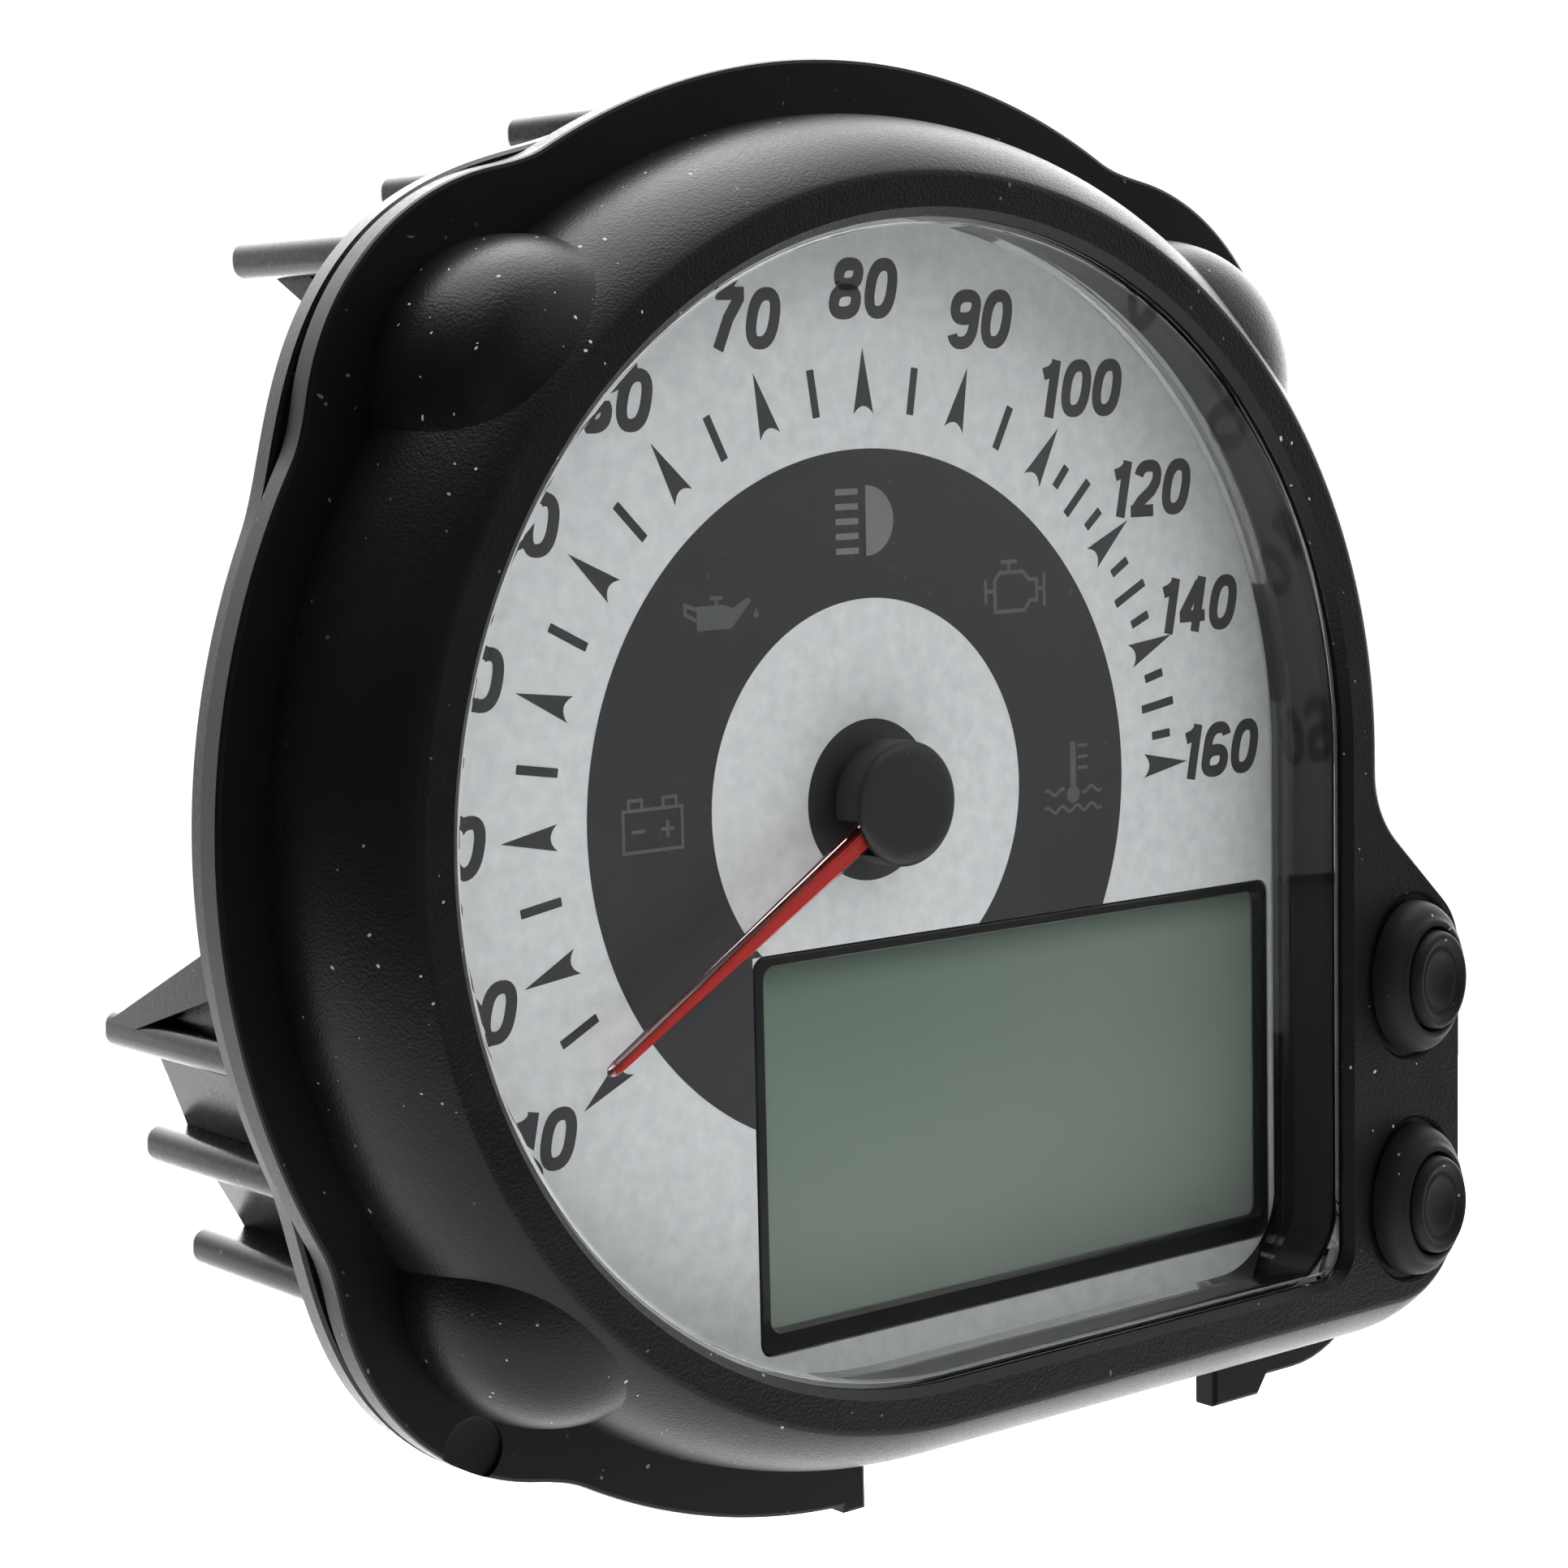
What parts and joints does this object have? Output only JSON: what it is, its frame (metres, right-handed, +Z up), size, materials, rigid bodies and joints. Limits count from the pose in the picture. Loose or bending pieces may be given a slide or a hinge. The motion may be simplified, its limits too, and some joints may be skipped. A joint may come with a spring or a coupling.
{
  "type": "motorcycle instrument cluster",
  "caption": "Round motorcycle speedometer with a needle over a silver dial, a display window, side push buttons, a black lobed bezel and a finned rear housing.",
  "frame": {"origin": "centre of the flat locating pad on the back of the rear housing, on the pointer's axis", "axes": "+X to the rider's right, +Y away from the rider into the dash, +Z up; the dial faces -Y"},
  "size_m": [0.1555, 0.0579, 0.1507],
  "materials": {
    "black_grain": "fine pebble grain, satin",
    "black_plain": "smooth satin",
    "rubber": "matte, slightly dusty",
    "clear_plastic": "clear, polished",
    "dial_print": "silver-white print, satin",
    "display_glass": "grey-green, glossy",
    "milky_plastic": "diffusing white",
    "board": "green solder mask",
    "motor_plastic": "moulded, satin",
    "gear_plastic": "moulded, satin",
    "contact_rubber": "matte",
    "steel": "plated, satin",
    "brass": "machined",
    "copper_wire": "enamelled winding",
    "magnet": "bonded ferrite, matte",
    "pointer_red": "red stripe in clear plastic"
  },
  "bodies": {
    "housing": {"front_bezel": "black_grain", "window_lens": "clear_plastic", "lens_gasket": "rubber", "dial_plate": "dial_print", "dial_light_guide": "clear_plastic", "light_carrier": "milky_plastic", "lcd_frame": "black_plain", "lcd_glass": "display_glass", "lcd_backlight": "milky_plastic", "lcd_contact_strip_top": "contact_rubber", "lcd_contact_strip_bottom": "contact_rubber", "circuit_board": "board", "board_screw_1": "steel", "board_screw_2": "steel", "board_screw_3": "steel", "telltale_led_battery": "milky_plastic", "telltale_led_oil": "milky_plastic", "telltale_led_high_beam": "milky_plastic", "telltale_led_engine": "milky_plastic", "telltale_led_coolant": "milky_plastic", "controller_chip": "black_plain", "smoothing_capacitor": "steel", "motor_case": "motor_plastic", "motor_cover": "motor_plastic", "motor_bushing": "brass", "motor_coil_side": "copper_wire", "motor_coil_top": "copper_wire", "motor_stator": "steel", "motor_idler_pin": "steel", "motor_rotor_pin": "steel", "upper_button_boot": "rubber", "lower_button_boot": "rubber", "upper_switch": "black_plain", "lower_switch": "black_plain", "rear_housing": "black_plain", "housing_seal": "rubber", "case_screw_1": "steel", "case_screw_2": "steel", "case_screw_3": "steel", "case_screw_4": "steel", "mount_insert_1": "brass", "mount_insert_2": "brass", "mount_insert_3": "brass", "mount_grommet_1": "rubber", "mount_grommet_2": "rubber", "mount_grommet_3": "rubber", "connector_shell": "black_plain", "connector_pins": "black_plain", "vent_plug": "rubber"},
    "pointer": {"pointer_shaft": "steel", "pointer_cap": "black_grain", "pointer_blade": "pointer_red", "output_gear": "gear_plastic"},
    "idler": {"idler_gear": "gear_plastic"},
    "rotor": {"rotor_pinion": "gear_plastic", "rotor_magnet": "magnet"},
    "upper_button_body": {"upper_button": "rubber", "upper_button_plunger": "gear_plastic"},
    "lower_button_body": {"lower_button": "rubber", "lower_button_plunger": "gear_plastic"}
  },
  "joints": [
    {"name": "pointer_turn", "type": "hinge", "parent": "housing", "child": "pointer", "pos_m": [0, -0.0446, 0], "axis": [0, 1, 0], "range_deg": [-22.5, 211.5]},
    {"name": "idler_turn", "type": "hinge", "parent": "housing", "child": "idler", "pos_m": [0, -0.0245, -0.01], "axis": [0, 1, 0], "range_deg": [-850, 94]},
    {"name": "rotor_turn", "type": "hinge", "parent": "housing", "child": "rotor", "pos_m": [0.004, -0.0215, -0.01693], "axis": [0, 1, 0], "range_deg": [-275, 2545]},
    {"name": "upper_press", "type": "slide", "parent": "housing", "child": "upper_button_body", "axis": [0, 1, 0], "range_m": [0, 0.001], "stiffness_N_per_m": 400, "springref_m": -0.001},
    {"name": "lower_press", "type": "slide", "parent": "housing", "child": "lower_button_body", "axis": [0, 1, 0], "range_m": [0, 0.001], "stiffness_N_per_m": 400, "springref_m": -0.001}
  ],
  "couplings": [
    {"joint": "idler_turn", "follows": "pointer_turn", "ratio": -4},
    {"joint": "rotor_turn", "follows": "pointer_turn", "ratio": 12}
  ]
}
